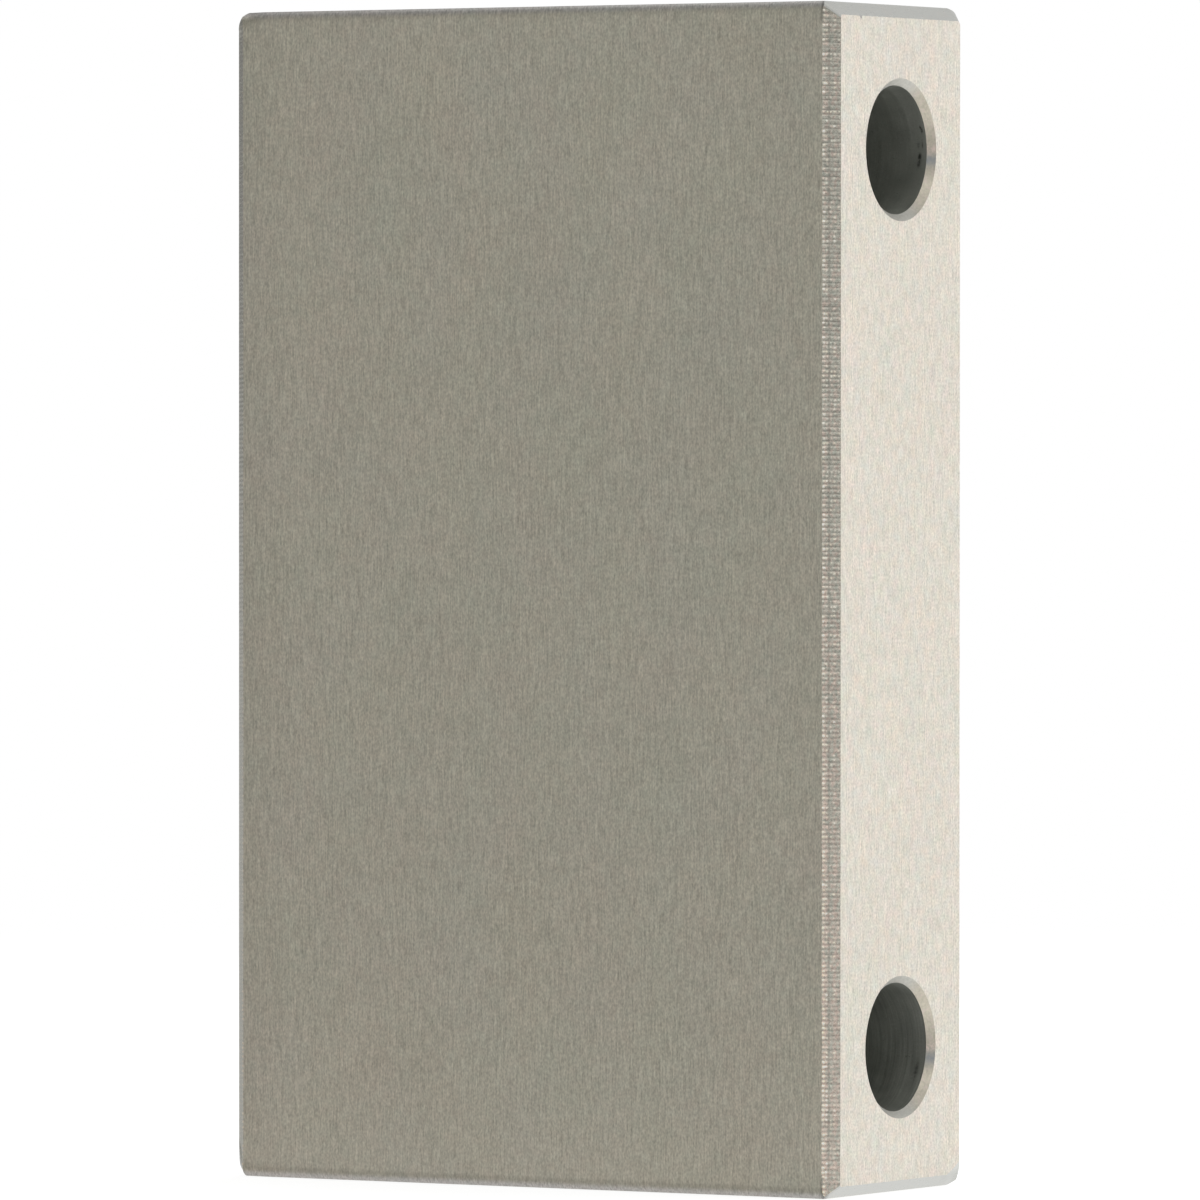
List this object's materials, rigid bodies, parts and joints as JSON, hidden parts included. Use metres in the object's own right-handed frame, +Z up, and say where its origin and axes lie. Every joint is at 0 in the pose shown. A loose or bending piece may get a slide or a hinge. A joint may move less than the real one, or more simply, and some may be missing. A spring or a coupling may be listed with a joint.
{
  "type": "mounting block",
  "caption": "Solid rectangular metal block that stands on its end, with chamfered narrow faces and plain bolt bores running through its width.",
  "frame": {"origin": "centre of the bottom end, on the surface that the block stands on", "axes": "+Z up along the long side, X across the wide faces and along the bores, Y through the thickness"},
  "size_m": [0.0476, 0.0182, 0.08],
  "materials": {
    "machined_metal": "fine straight brushed grain along the long side, milled chamfers on the narrow faces, drilled bores, no coating"
  },
  "bodies": {
    "root": {"mounting_block": "machined_metal"}
  },
  "joints": []
}
